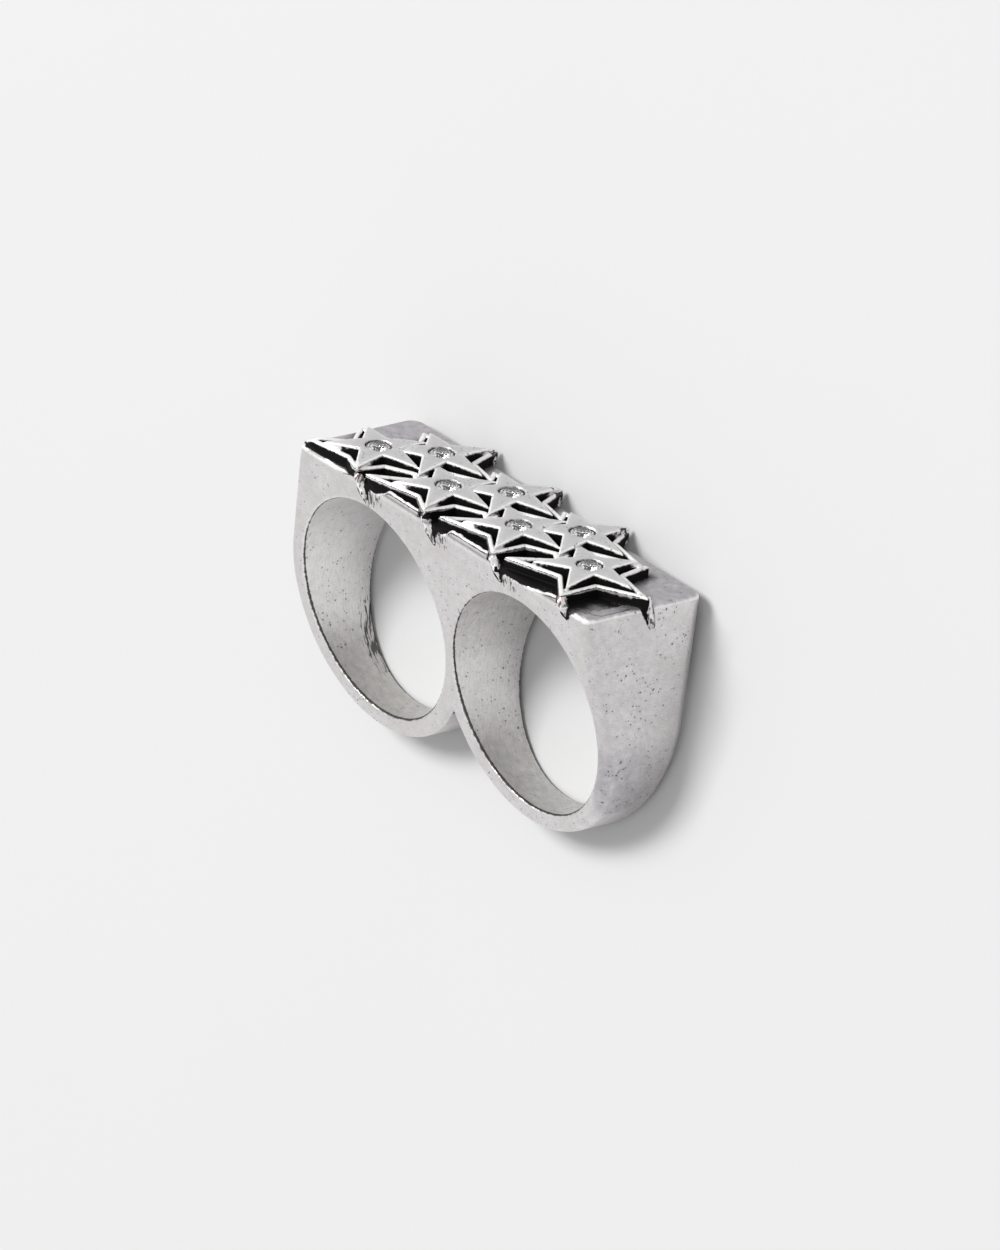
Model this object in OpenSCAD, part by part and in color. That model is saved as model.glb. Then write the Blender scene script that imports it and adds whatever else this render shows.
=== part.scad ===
// Double ring: two finger bands under one wide bar with seven raised stars.
// The ring is drawn as it is worn (bar on top, bands hanging below it) and is
// then laid on its back, with the front faces of the bands up.
// Worn drawing: X runs along the bar, Y from front to back, Z is up and its zero
// is the flat top of the bar. Its X zero is midway between the two fingers.

/* [Finger holes and bands] */
// Diameter of each finger hole
hole_d = 19; // [15:0.1:20]
// Distance between the middles of the two finger holes
hole_pitch = 20.35; // [20.2:0.05:20.6]
// Depth of the middle of each hole below the top of the bar
hole_drop = 11.8; // [11.5:0.1:13]
// Thickness of the bands below the holes
band_t = 1.65; // [1.2:0.05:1.8]
// Depth of the notch between the bands below the top of the bar
notch_drop = 17; // [16.8:0.1:17.5]

/* [Bar] */
// Length of the flat top of the bar
bar_l = 38.7; // [38:0.1:41]
// How far the bar sits to the right of the middle of the two holes
bar_shift = 0.3; // [0:0.1:0.5]
// Width from front to back at the top of the bar
bar_w = 12.4; // [12:0.1:13]
// How much each side face leans in for each millimetre down
side_slope = 0.2; // [0.18:0.01:0.21]
// Rounding along the top edges
edge_r = 0.6; // [0.3:0.1:1]

/* [Stars] */
// Middle of the first star of the front row, along the bar
first_x = -13.15; // [-13.5:0.05:-13]
// Middle of the first star of the front row, from front to back
first_y = -2.65; // [-2.8:0.05:-2.5]
// Distance from one star to the next in a row
star_pitch = 8.85; // [8.8:0.05:8.9]
// Step from a front star to the back star beside it, along the bar
back_dx = 3.4; // [3.3:0.05:3.5]
// Step from a front star to the back star beside it, front to back
back_dy = 3.95; // [3.9:0.05:4]
// Turn of the rows away from the line of the bar
row_turn = 3; // [2:0.5:4]
// Turn of each star, from the bar to its first arm
star_turn = 9.9; // [8:0.1:12]
// Radius of a star at its tips
star_r = 4.7; // [4.5:0.05:4.8]
// Radius of a star at its inner corners
star_notch_r = 1.85; // [1.8:0.05:2]
// Height of the stars above the bar
star_h = 1.55; // [1.4:0.05:1.8]
// How far the star tips bend down
tip_drop = 0.35; // [0.2:0.05:0.5]
// How far the foot of a star spreads past its top
star_draft = 0.12; // [0.05:0.01:0.2]

/* [Rim around the stars] */
// Radius of the long points of the rim
rim_long_r = 7.05; // [6.9:0.05:7.1]
// Radius of the short points of the rim
rim_short_r = 5.35; // [5.2:0.05:5.5]
// Turn of the short left points of the rim away from their stars
left_point_turn = 5; // [0:1:8]
// Turn of the short back point of the last star of the front row
last_point_turn = -8; // [-10:1:0]
// Radius of the rim at its inner corners
rim_notch_r = 2.95; // [2.9:0.05:3.05]
// Thickness of the rim wall
rim_t = 0.42; // [0.35:0.01:0.5]
// Height of the rim above the bar
rim_h = 1; // [0.8:0.05:1.2]
// How far the rim points stand out past the front face of the bar
front_proud = 0.35; // [0.2:0.05:0.5]
// How far the rim points stand out past the back face of the bar
back_proud = 0.6; // [0.5:0.05:1]
// How far the last rim point stands out past the right end
end_proud = 0.3; // [0.2:0.05:0.4]
// Width of the folded rim points
fold_w = 1; // [0.8:0.05:1.2]

/* [Stones] */
// Diameter of each stone at its widest
stone_d = 2.1; // [2:0.02:2.2]
// Room between a stone and the wall of its seat
stone_gap = 0.04; // [0.03:0.01:0.06]
// Height of the widest part of a stone above the bar
girdle_h = 1.3; // [1.25:0.05:1.4]
// Height of the cut top of a stone above its widest part
crown_h = 0.3; // [0.25:0.01:0.35]
// Depth of the cut point of a stone below its widest part
point_h = 0.85; // [0.8:0.05:0.95]

/* [Hidden] */
$fn = 96;

// How deep the stars and the rim are sunk in the bar, so that they are one solid
sink = 0.3;
// How far one cut runs into the next
overlap = 0.001;
// Width of the metal that fills the notch where the two bands meet
notch_w = 1;
// Thickness of the straight edge around the widest part of a stone
girdle_t = 0.08;
// Share of the stone's radius that its flat top has
table_share = 0.6;
// Number of flat cuts around a stone
stone_sides = 16;
// Radius of the cut point of a stone
point_r = 0.05;
// Share of a star's inner corner radius that its flat middle reaches
flat_share = 0.94;
// Height at which a rim point starts to fold over the edge
fold_start = 0.55;
// How deep a folded point is rooted in the metal
fold_root = 0.9;
// Share of a fold's width and of its stand-out at its end, half way and at its top
fold_widths = [0.15, 0.75, 1];
fold_stands = [0.1, 0.8, 1];
// Share of a fold's width that its flat ridge has
ridge_share = 0.4;
// Share of a fold's stand-out that is left at its two sides
side_share = 0.3;
// Length of the fold on the right end, below the top of the bar
end_fold_l = 1.6;
// How far the right end leans out over the length of that fold
end_lean = 0.25;
// How far that fold starts and ends behind the line of its rim point
end_fold_shift = [0.25, 0.6];

hole_r = hole_d / 2;
band_r = hole_r + band_t;
band_bottom = -hole_drop - band_r;
bar_left = bar_shift - bar_l / 2;
bar_right = bar_shift + bar_l / 2;
front_y = -bar_w / 2;
back_y = bar_w / 2;

// Half the width of the ring at height z
function half_w(z) = bar_w / 2 + side_slope * z;

// Where the rounded top edges meet the top and the side faces
lean = atan(side_slope);
round_y = bar_w / 2 - edge_r * (side_slope + norm([1, side_slope]));
touch_y = round_y + edge_r * cos(lean);
touch_z = -edge_r - edge_r * sin(lean);
foot_z = band_bottom - 1;
foot_w = half_w(foot_z);

// Where the straight line from an end of the bar meets the round of its band.
// It runs a hair inside the round, so that the two cross and become one solid.
line_r = band_r - 0.02;
function line_end(side, x) =
    let (from = [x - side * hole_pitch / 2, hole_drop],
         turn = atan2(from.y, from.x) - side * acos(line_r / norm(from)))
    [side * hole_pitch / 2 + line_r * cos(turn), -hole_drop + line_r * sin(turn)];

// Middles of the stars: the front row of four, then the back row of three
front_stars = [for (i = [0:3])
    [first_x + i * star_pitch * cos(row_turn), first_y + i * star_pitch * sin(row_turn)]];
back_stars = [for (i = [0:2]) front_stars[i] + [back_dx, back_dy]];
stars = concat(front_stars, back_stars);
// The stones are counted from the left, front and back in turn
stone_stars = [0, 4, 1, 5, 2, 6, 3];

// Arms of a star in order: right, back, left, front left and front right
arm_turns = [for (k = [0:4]) star_turn + 72 * k];

// Reach of a rim point that stops at the front, back or right edge of the bar
front_tip_y = front_y - front_proud;
back_tip_y = back_y + back_proud;
right_tip_x = bar_right + end_proud;
function front_reach(star) = (front_tip_y - star.y) / sin(arm_turns[4]);
function back_reach(star) = (back_tip_y - star.y) / sin(arm_turns[1]);
function right_reach(star) = (right_tip_x - star.x) / cos(arm_turns[0]);

// Reach of the five rim points around star i
function rim_reach(i) =
    i == 3 ? [right_reach(stars[i]), rim_short_r, rim_short_r, rim_long_r,
              front_reach(stars[i])] :
    i < 3 ? [rim_long_r, rim_short_r, rim_short_r, rim_long_r, front_reach(stars[i])] :
    [rim_long_r, back_reach(stars[i]), rim_short_r, rim_short_r, rim_short_r];
function rim_turns(i) = [0, i == 3 ? last_point_turn : 0, left_point_turn, 0, 0];

// Half the angle of a point that reaches out to r from corners at notch_r
function half_angle(r, notch_r) = atan2(notch_r * sin(36), r - notch_r * cos(36));

// Outline with five points of their own reach and turn, drawn in by inset
function star_outline(reach, turns, notch_r, inset = 0) =
    let (angles = [for (r = reach) half_angle(r, notch_r)])
    [for (k = [0:9])
        let (a = angles[floor(k / 2)], b = angles[ceil(k / 2) % 5],
             turn = star_turn + 36 * k + (k % 2 == 0 ? turns[k / 2] : 0),
             r = k % 2 == 0 ? reach[k / 2] - inset / sin(a)
                            : notch_r - inset / sin(36 + (a + b) / 2))
        r * [cos(turn), sin(turn)]];

even_reach = [for (k = [0:4]) star_r];
no_turns = [for (k = [0:4]) 0];
star_top = star_outline(even_reach, no_turns, star_notch_r);
star_foot = star_outline(even_reach, no_turns, star_notch_r, -star_draft);

// The ring lies on the lower back edges of its bands and on the foot of the
// back rim points: lie_turn is the slope of the line through both
lie_turn = atan2(back_tip_y - half_w(band_bottom), -sink - band_bottom);
rest_z = back_tip_y * cos(lie_turn) + sink * sin(lie_turn);
// Lowest and highest reach of the lying ring along Y
lying_low_y = -half_w(band_bottom) * sin(lie_turn) + band_bottom * cos(lie_turn);
lying_high_y = (stars[6].y + star_r * sin(arm_turns[1])) * sin(lie_turn)
               + (star_h - tip_drop) * cos(lie_turn);

// Solid between rings of points, each ring with the same number of points.
// The rings run upwards, and each is counter-clockwise seen from above.
module skin(rings) {
    n = len(rings[0]);
    last = len(rings) - 1;
    polyhedron(
        points = [for (ring = rings) for (p = ring) p],
        faces = concat(
            [[for (j = [0:n - 1]) j]],
            [for (i = [0:last - 1]) for (j = [0:n - 1])
                [i * n + j, (i + 1) * n + j, (i + 1) * n + (j + 1) % n]],
            [for (i = [0:last - 1]) for (j = [0:n - 1])
                [i * n + j, (i + 1) * n + (j + 1) % n, i * n + (j + 1) % n]],
            [[for (j = [0:n - 1]) last * n + n - 1 - j]]
        ),
        convexity = 6
    );
}

// Front view of the bar and both bands, with the finger holes left open
module front_outline() {
    polygon([[bar_left, 0], [bar_right, 0], line_end(1, bar_right),
             [hole_pitch / 2, -hole_drop], [-hole_pitch / 2, -hole_drop],
             line_end(-1, bar_left)]);
    translate([-notch_w / 2, -notch_drop])
        square([notch_w, notch_drop - hole_drop]);
    for (side = [-1, 1])
        translate([side * hole_pitch / 2, -hole_drop]) circle(band_r);
}

// End view of the ring, wide at the bar and narrow below, with rounded top edges
module end_outline() {
    polygon([[-round_y, 0], [round_y, 0], [touch_y, touch_z], [foot_w, foot_z],
             [-foot_w, foot_z], [-touch_y, touch_z]]);
    for (side = [-1, 1])
        translate([side * round_y, -edge_r]) circle(edge_r);
}

// Bar and bands: what both outlines have in common, less the finger holes
module bar_and_bands() {
    difference() {
        intersection() {
            rotate([90, 0, 0])
                linear_extrude(2 * bar_w, center = true) front_outline();
            rotate([90, 0, 90])
                linear_extrude(2 * bar_l, center = true) end_outline();
        }
        for (side = [-1, 1])
            translate([side * hole_pitch / 2, 0, -hole_drop])
                rotate([90, 0, 0])
                    cylinder(r = hole_r, h = 2 * bar_w, center = true);
    }
}

// One raised star: a flat middle and five arms that bend down to their tips
module raised_star() {
    foot = [for (p = star_foot) [p.x, p.y, -sink]];
    edge = [for (k = [0:9])
        [star_top[k].x, star_top[k].y, k % 2 == 0 ? star_h - tip_drop : star_h]];
    flat = [for (k = [0:9])
        let (r = star_notch_r * flat_share * (k % 2 == 0 ? cos(36) : 1))
        [r * cos(star_turn + 36 * k), r * sin(star_turn + 36 * k), star_h]];
    skin([foot, edge, flat]);
}

// Outline of the whole star cluster, cut off at the edges and drawn in by inset
module cluster_outline(inset) {
    intersection() {
        for (i = [0:6])
            translate(stars[i])
                polygon(star_outline(rim_reach(i), rim_turns(i), rim_notch_r, inset));
        translate([-bar_l, front_tip_y + inset])
            square([2 * bar_l, back_tip_y - front_tip_y - 2 * inset]);
    }
}

// Low wall around the star cluster
module rim() {
    translate([0, 0, -sink])
        linear_extrude(rim_h + sink)
            difference() {
                cluster_outline(0);
                cluster_outline(rim_t);
            }
}

// The stars, cut off where the rim around them ends
module raised_stars() {
    intersection() {
        for (s = stars)
            translate(s) raised_star();
        translate([0, 0, -sink])
            linear_extrude(2 * star_h) cluster_outline(0);
    }
}

// A rim point folded down over an edge. It runs from its top, at rim height, to
// its end on the face below, and gets narrower and flatter on the way.
// out points away from the face and along points along its edge.
module fold(top, end, out, along, proud) {
    steps = [end, (top + end) / 2, top];
    skin([for (i = [0:2])
        let (side = along * fold_w * fold_widths[i] / 2,
             stand = out * proud * fold_stands[i])
        [steps[i] - side + stand * side_share,
         steps[i] - side * ridge_share + stand,
         steps[i] + side * ridge_share + stand,
         steps[i] + side + stand * side_share,
         steps[i] + side - out * fold_root,
         steps[i] - side - out * fold_root]]);
}

// The folded points over the front, back and right edges
module folds() {
    for (i = [0:3]) {
        tip = stars[i] + rim_long_r * [cos(arm_turns[4]), sin(arm_turns[4])];
        z = fold_start + tip.y - front_y;
        x = stars[i].x + front_reach(stars[i]) * cos(arm_turns[4]);
        fold([x, front_y, rim_h], [tip.x, -half_w(z), z], [0, -1, 0], [1, 0, 0],
             front_proud);
    }
    for (i = [4:6]) {
        tip = stars[i] + rim_long_r * [cos(arm_turns[1]), sin(arm_turns[1])];
        z = fold_start - tip.y + back_y;
        x = stars[i].x + back_reach(stars[i]) * cos(arm_turns[1]);
        fold([x, back_y, rim_h], [tip.x, half_w(z), z], [0, 1, 0], [-1, 0, 0],
             back_proud);
    }
    y = stars[3].y + right_reach(stars[3]) * sin(arm_turns[0]);
    fold([bar_right, y + end_fold_shift[0], rim_h],
         [bar_right + end_lean, y + end_fold_shift[1], -end_fold_l],
         [1, 0, 0], [0, 1, 0], end_proud);
}

// Seat of a stone: a round pocket over a cone
module seat() {
    r = stone_d / 2 + stone_gap;
    ledge_z = girdle_h - girdle_t / 2 - stone_gap;
    translate([0, 0, ledge_z])
        cylinder(r = r, h = star_h);
    translate([0, 0, ledge_z - point_h])
        cylinder(r1 = point_r, r2 = r, h = point_h + overlap);
}

module ring_body() {
    color("silver")
        lay_on_back()
            difference() {
                union() {
                    bar_and_bands();
                    rim();
                    folds();
                    raised_stars();
                }
                for (s = stars)
                    translate(s) seat();
            }
}

// Round cut stone: a flat top, sixteen cuts above the girdle and sixteen below
module stone(i) {
    ring = function (r, z) [for (k = [0:stone_sides - 1])
        [r * cos(360 * k / stone_sides), r * sin(360 * k / stone_sides), z]];
    r = stone_d / 2;
    color([0.9, 0.93, 0.95])
        lay_on_back()
            translate([stars[stone_stars[i]].x, stars[stone_stars[i]].y, girdle_h])
                skin([ring(point_r, -girdle_t / 2 - point_h + stone_gap),
                      ring(r, -girdle_t / 2),
                      ring(r, girdle_t / 2),
                      ring(r * table_share, girdle_t / 2 + crown_h)]);
}

// Lays the ring on its back: it rests on the bottoms of the two bands and on
// the three rim points at the back edge of the bar
module lay_on_back() {
    translate([0, -(lying_low_y + lying_high_y) / 2, rest_z])
        rotate([lie_turn - 90, 0, 0])
            children();
}

ring_body();
for (i = [0:6])
    stone(i);
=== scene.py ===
"""Looks of the double ring: one piece of old silver with seven stars, each with a cut stone.

The metal is worked out as one form, in millimetres, on the ring as it is worn: X runs along
the bar, Y from front to back, Z is up, and the flat top of the bar is at zero. The finished
meshes are then laid on their back, as the ring lies in the frame.
"""

import math

import bpy
import numpy as np
from mathutils import Matrix, Vector


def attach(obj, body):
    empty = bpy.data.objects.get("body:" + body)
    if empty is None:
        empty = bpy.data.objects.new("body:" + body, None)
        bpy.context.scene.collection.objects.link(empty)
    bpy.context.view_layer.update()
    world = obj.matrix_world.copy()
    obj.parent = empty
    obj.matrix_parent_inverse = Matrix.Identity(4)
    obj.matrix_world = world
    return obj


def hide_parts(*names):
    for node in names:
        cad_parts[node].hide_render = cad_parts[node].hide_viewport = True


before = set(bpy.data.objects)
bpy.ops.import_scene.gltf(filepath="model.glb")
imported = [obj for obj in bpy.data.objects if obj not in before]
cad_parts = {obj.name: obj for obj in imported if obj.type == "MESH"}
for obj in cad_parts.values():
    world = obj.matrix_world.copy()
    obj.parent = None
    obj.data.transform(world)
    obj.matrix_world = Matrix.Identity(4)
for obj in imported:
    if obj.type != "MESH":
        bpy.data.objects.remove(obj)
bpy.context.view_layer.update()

# ---------------------------------------------------------------- sizes, as in part.scad

hole_d, hole_pitch, hole_drop = 19, 20.35, 11.8
band_t = 1.65
bar_l, bar_shift, bar_w = 38.7, 0.3, 12.4
side_slope, top_round = 0.2, 0.6

first_x, first_y, star_pitch = -13.15, -2.65, 8.85
back_dx, back_dy = 3.4, 3.95
row_turn, star_turn = 3, 9.9
star_r, star_notch_r, star_h, tip_drop, star_draft = 4.7, 1.85, 1.55, 0.35, 0.12

rim_long_r, rim_short_r, rim_notch_r = 7.05, 5.35, 2.95
left_point_turn, last_point_turn = 5, -8
front_left_turns = [-12.5, -11, -8, -5.5]
front_left_reach = [6.95, 7.35, 6.8, 7.15]
rim_t, rim_h, sink = 0.42, 1, 0.3
front_proud, back_proud, end_proud = 0.35, 0.6, 0.3
fold_start, end_fold_l, end_lean, end_fold_shift = 0.55, 1.6, 0.25, 0.6

stone_d, girdle_h, girdle_t, crown_h, point_h = 2.1, 1.3, 0.08, 0.3, 0.85

hole_r = hole_d / 2
seat_r = stone_d / 2 + 0.02
band_r = hole_r + band_t
band_bottom = -hole_drop - band_r
bar_left = bar_shift - bar_l / 2
bar_right = bar_shift + bar_l / 2
front_y, back_y = -bar_w / 2, bar_w / 2
front_tip_y, back_tip_y = front_y - front_proud, back_y + back_proud
right_tip_x = bar_right + end_proud
lean_cos = 1 / math.hypot(1, side_slope)

# ---------------------------------------------------------------- sizes of wear and handwork

front_slope = 0.19
front_round, right_front_more, hole_round = 0.35, 0.5, 0.35
back_round, low_back_less, least_top_round = 1.4, 0.9, 0.3
band_swell, notch_fillet = 0.2, 0.5
star_round, rim_round, rim_corner_round, lip_round = 0.13, 0.22, 0.12, 0.15
burr_rough, burr_sunk = 0.16, 0.7
front_claw_proud, back_claw_proud, claw_ridge = 0.36, 0.42, 1.5
claw_radii, end_claw_radii = [0.30, 0.45, 0.46, 0.04], [0.28, 0.34, 0.20]
large_dents, small_dents = 0.05, 0.02
seat_depth, seat_spread, seat_floor = 0.12, 0.25, 0.3
notch_top, notch_z, notch_edge = -16, -17.3, 0.35
relief_low = -3

grid_step, grid_spans = 0.125, [(-21.8, 21.9), (-7.2, 7.3), (-23.4, 2.0)]
most_triangles, settle_rounds, normal_reach = 170000, 3, 0.02


def pointing(degrees):
    """Direction on the bar's top, turned from the line of the bar."""
    return np.array([math.cos(math.radians(degrees)), math.sin(math.radians(degrees))])


def half_w(z):
    """How far the back face stands behind the middle, and the CAD's front before it."""
    return bar_w / 2 + side_slope * z


def front_w(z):
    """How far the front face stands before the middle."""
    return bar_w / 2 + front_slope * z


row_way = pointing(row_turn)
stars = [np.array([first_x, first_y]) + i * star_pitch * row_way for i in range(4)]
stars += [star + np.array([back_dx, back_dy]) for star in stars[:3]]
stone_stars = [0, 4, 1, 5, 2, 6, 3]
arm_turns = [star_turn + 72 * k for k in range(5)]
arms = [pointing(turn) for turn in arm_turns]


def star_corners(middle, reach, turns, notch_r):
    """Corners of an outline with five points, each with its own reach and turn."""
    corners = []
    for k in range(10):
        point = k % 2 == 0
        turn = star_turn + 36 * k + (turns[k // 2] if point else 0)
        corners.append(middle + (reach[k // 2] if point else notch_r) * pointing(turn))
    return corners


def rim_reach(i):
    """Reach of the five rim points around star i, counted from its right arm."""
    front = (front_tip_y - stars[i][1]) / arms[4][1]
    back = (back_tip_y - stars[i][1]) / arms[1][1]
    right = (right_tip_x - stars[i][0]) / arms[0][0]
    if i < 4:
        return [right if i == 3 else rim_long_r, rim_short_r, rim_short_r,
                front_left_reach[i], front]
    return [rim_long_r, back, rim_short_r, rim_short_r, rim_short_r]


def rim_turns(i):
    """Turn of the five rim points around star i away from its arms."""
    return [0, last_point_turn if i == 3 else 0, left_point_turn,
            front_left_turns[i] if i < 4 else 0, 0]


rim_outlines = [star_corners(stars[i], rim_reach(i), rim_turns(i), rim_notch_r)
                for i in range(7)]

lie_turn = math.atan2(back_tip_y - half_w(band_bottom), -sink - band_bottom)
lie_sin, lie_cos = math.sin(lie_turn), math.cos(lie_turn)
lift = back_tip_y * lie_cos + sink * lie_sin
low_y = -half_w(band_bottom) * lie_sin + band_bottom * lie_cos
high_y = ((stars[6][1] + star_r * arms[1][1]) * lie_sin + (star_h - tip_drop) * lie_cos)
slide = -(low_y + high_y) / 2


def lay_down(points, move=True):
    """Points, or directions with move off, of the worn ring in the frame, in metres."""
    x, y, z = np.asarray(points, float).T
    laid = np.stack([x, y * lie_sin + z * lie_cos, -y * lie_cos + z * lie_sin], axis=-1)
    return (laid + [0, slide, lift]) / 1000 if move else laid


# ---------------------------------------------------------------- forms in the metal

def step_up(value, low, high):
    """Goes smoothly from 0 to 1 while the value goes from low to high."""
    share = np.clip((value - low) / (high - low), 0, 1)
    return share * share * (3 - 2 * share)


def round_max(a, b, r):
    """What two forms have in common, with their shared edge rounded by r."""
    return (np.minimum(-r, np.maximum(a, b))
            + np.hypot(np.maximum(r + a, 0), np.maximum(r + b, 0)))


def soft_min(a, b, k):
    """Both forms together, with a fillet of about k between them."""
    share = np.clip(0.5 + (b - a) / (2 * k), 0, 1)
    return b + (a - b) * share - k * share * (1 - share)


def outline_distance(x, y, corners):
    """Distance to a closed outline, below zero inside."""
    nearest, inside = np.inf, False
    for (ax, ay), (bx, by) in zip(corners, corners[1:] + corners[:1]):
        ex, ey = bx - ax, by - ay
        along = np.clip(((x - ax) * ex + (y - ay) * ey) / (ex * ex + ey * ey), 0, 1)
        nearest = np.minimum(nearest, (x - ax - along * ex) ** 2 + (y - ay - along * ey) ** 2)
        inside = inside ^ (((ay > y) != (by > y)) & (x < ax + ex * (y - ay) / ey))
    return np.where(inside, -1, 1) * np.sqrt(nearest)


def grain(x, y, z, size, seed):
    """Smooth random unevenness between 0 and 1, with lumps of about that size."""
    total = 0
    cells, shares = [], []
    for value in (x, y, z):
        place = np.asarray(value) / size
        cell = np.floor(place)
        share = place - cell
        cells.append(cell.astype(np.int64))
        shares.append(share * share * (3 - 2 * share))
    for corner in range(8):
        weight, code = 1, seed * 374761393
        for axis in range(3):
            bit = corner >> axis & 1
            weight = weight * (shares[axis] if bit else 1 - shares[axis])
            code = code + (cells[axis] + bit) * (668265263, 2147483647, 1274126177)[axis]
        code = (code ^ code >> 13) * 1103515245 & 0x7FFFFFFF
        code = (code ^ code >> 15) * 2246822519 & 0x7FFFFFFF
        total = total + weight * (code / 0x7FFFFFFF)
    return total


def front_view(x, z):
    """Bar and bands seen from the front: rounds that run up into the ends of the bar."""
    halves = []
    for side, end in ((-1, bar_left), (1, bar_right)):
        middle = side * hole_pitch / 2
        out, up = side * (x - middle), z + hole_drop
        end_out = side * (end - middle)
        turn = (math.atan2(hole_drop, end_out)
                - math.acos(band_r / math.hypot(end_out, hole_drop)))
        round_part = np.hypot(out, up) - band_r - band_swell * np.clip(-out / band_r, 0, 1)
        line = out * math.cos(turn) + up * math.sin(turn) - band_r
        above = up * math.cos(turn) - out * math.sin(turn) > 0
        half = np.where(above, line, round_part)
        halves.append(np.where(out < 0, np.where(up > 0, -out - band_r, round_part), half))
    return soft_min(halves[0], halves[1], notch_fillet)


def hole_distance(x, z):
    """Distance to the nearer finger hole's wall, above zero inside the hole."""
    return hole_r - np.hypot(np.abs(x) - hole_pitch / 2, z + hole_drop)


def body_form(x, y, z):
    """Bar and both bands, with worn edges."""
    down = np.clip(-z / 20, 0, 1)
    view = front_view(x, z)
    front, back = (-y - front_w(z)) * lean_cos, (y - half_w(z)) * lean_cos
    sides = round_max(view, front, front_round + right_front_more * step_up(x, 10, 17))
    sides = round_max(sides, back, back_round - low_back_less * down)
    inward = np.clip(-view / 1.2, 0, 1)
    bar = round_max(sides, z, least_top_round + (top_round - least_top_round) * inward)
    return round_max(bar, hole_distance(x, z), hole_round)


def star_distance(x, y, i):
    """Distance to the top outline of star i, below zero inside. All its arms are alike."""
    x, y = x - stars[i][0], y - stars[i][1]
    away = np.hypot(x, y)
    step = math.radians(72)
    turn = np.abs((np.arctan2(y, x) - math.radians(star_turn) + step / 2) % step - step / 2)
    px, py = away * np.cos(turn) - star_r, away * np.sin(turn)
    ex, ey = star_notch_r * pointing(36) - (star_r, 0)
    along = np.clip((px * ex + py * ey) / (ex * ex + ey * ey), 0, 1)
    outside = np.sign(py * ex - px * ey)
    return -outside * np.hypot(px - along * ex, py - along * ey)


def star_top(x, y, i):
    """Height of star i's top: flat in the middle, bent down along the arms."""
    away = np.hypot(x - stars[i][0], y - stars[i][1])
    bend = np.clip((away - star_notch_r * 0.9) / (star_r - star_notch_r * 0.9), 0, 1.2)
    return star_h - tip_drop * bend ** 1.3


def star_form(x, y, z, i):
    """One raised star with softly worn edges."""
    top = star_top(x, y, i)
    wall = star_distance(x, y, i) - star_draft * (top - z) / (star_h + sink)
    return round_max(wall, z - top, star_round)


def rim_distance(x, y):
    """Distance to the outside of the rim, below zero inside."""
    nearest = outline_distance(x, y, rim_outlines[0])
    for corners in rim_outlines[1:]:
        nearest = np.minimum(nearest, outline_distance(x, y, corners))
    past_tips = np.maximum(front_y - 0.26 - y, y - back_tip_y + 0.1)
    return round_max(nearest, past_tips, rim_corner_round)


def fold_lines():
    """Points and radii along each rim point that is folded over an edge, and its way out."""
    folds = []
    for i in range(7):
        arm, side, proud = (4, -1, front_claw_proud) if i < 4 else (1, 1, back_claw_proud)
        edge_at = stars[i] + (side * (bar_w / 2 - 0.15) - stars[i][1]) / arms[arm][1] * arms[arm]
        start = edge_at - 0.9 * arms[arm]
        # The end lies low on the face, and the shoulder where the point bends over the edge.
        tip = stars[i] + rim_long_r * arms[arm]
        z = fold_start - side * tip[1] + bar_w / 2
        end = np.array([tip[0], side * (half_w(z) - 0.02), z])
        shoulder = np.array([*edge_at, 0.5]) + 0.12 * (end - [*edge_at, 0.5])
        shoulder[1] = side * (bar_w / 2 + proud - 0.47)
        middle = 0.6 * shoulder + 0.4 * end
        middle[1] = side * (half_w(middle[2]) - 0.15)
        folds.append(([(*start, 0.70), shoulder, middle, end], claw_radii, (0, side)))
    y = stars[3][1] + rim_reach(3)[0] * arms[0][1]
    folds.append(([(bar_right - 1.1, y + 0.05, 0.70), (bar_right - 0.12, y + 0.2, 0.60),
                   (bar_right + end_lean, y + end_fold_shift, -end_fold_l)],
                  end_claw_radii, (1, 0)))
    return folds


FOLDS = fold_lines()


def fold_form(x, y, z, fold):
    """A rim point folded over an edge: a claw with a ridge that narrows to its end."""
    points, radii, _ = fold
    form = np.inf
    for (ax, ay, az), (bx, by, bz), ra, rb in zip(points, points[1:], radii, radii[1:]):
        ex, ey, ez = bx - ax, by - ay, bz - az
        along = (x - ax) * ex + (y - ay) * ey + (z - az) * ez
        t = np.clip(along / (ex * ex + ey * ey + ez * ez), 0, 1)
        dx, dy, dz = x - ax - t * ex, y - ay - t * ey, z - az - t * ez
        away = (np.abs(dx) ** claw_ridge + np.abs(dy) ** claw_ridge
                + np.abs(dz) ** claw_ridge + 1e-9) ** (1 / claw_ridge)
        form = np.minimum(form, away - ra - (rb - ra) * t)
    return form


# Where the lip before each front hollow starts and is full, as shares of the way between
# two folded points, and its height.
LIPS = [(0.40, 1.00, 0.30), (0.22, 0.48, 0.62), (0.20, 0.42, 0.66), (0.30, 1.00, 0.55)]


def lip_share(x):
    """How far the lip along the front edge has risen at x, and its full height there."""
    claws = [bar_left] + [fold[0][1][0] for fold in FOLDS[:4]]
    share, height = 0 * x, 0 * x
    for left, right, (low, full, top) in zip(claws, claws[1:], LIPS):
        along = (x - left) / (right - left)
        here = (along > 0) & (along <= 1)
        rise = step_up(along, low, full) * step_up(1 - along, 0, 0.03)
        share, height = np.where(here, rise, share), np.where(here, top, height)
    return share, height


def lip_top(x):
    """Height of the lip's top, which is sunk in the front face where there is no lip."""
    share, height = lip_share(x)
    return share * (height + burr_sunk) - burr_sunk


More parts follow.
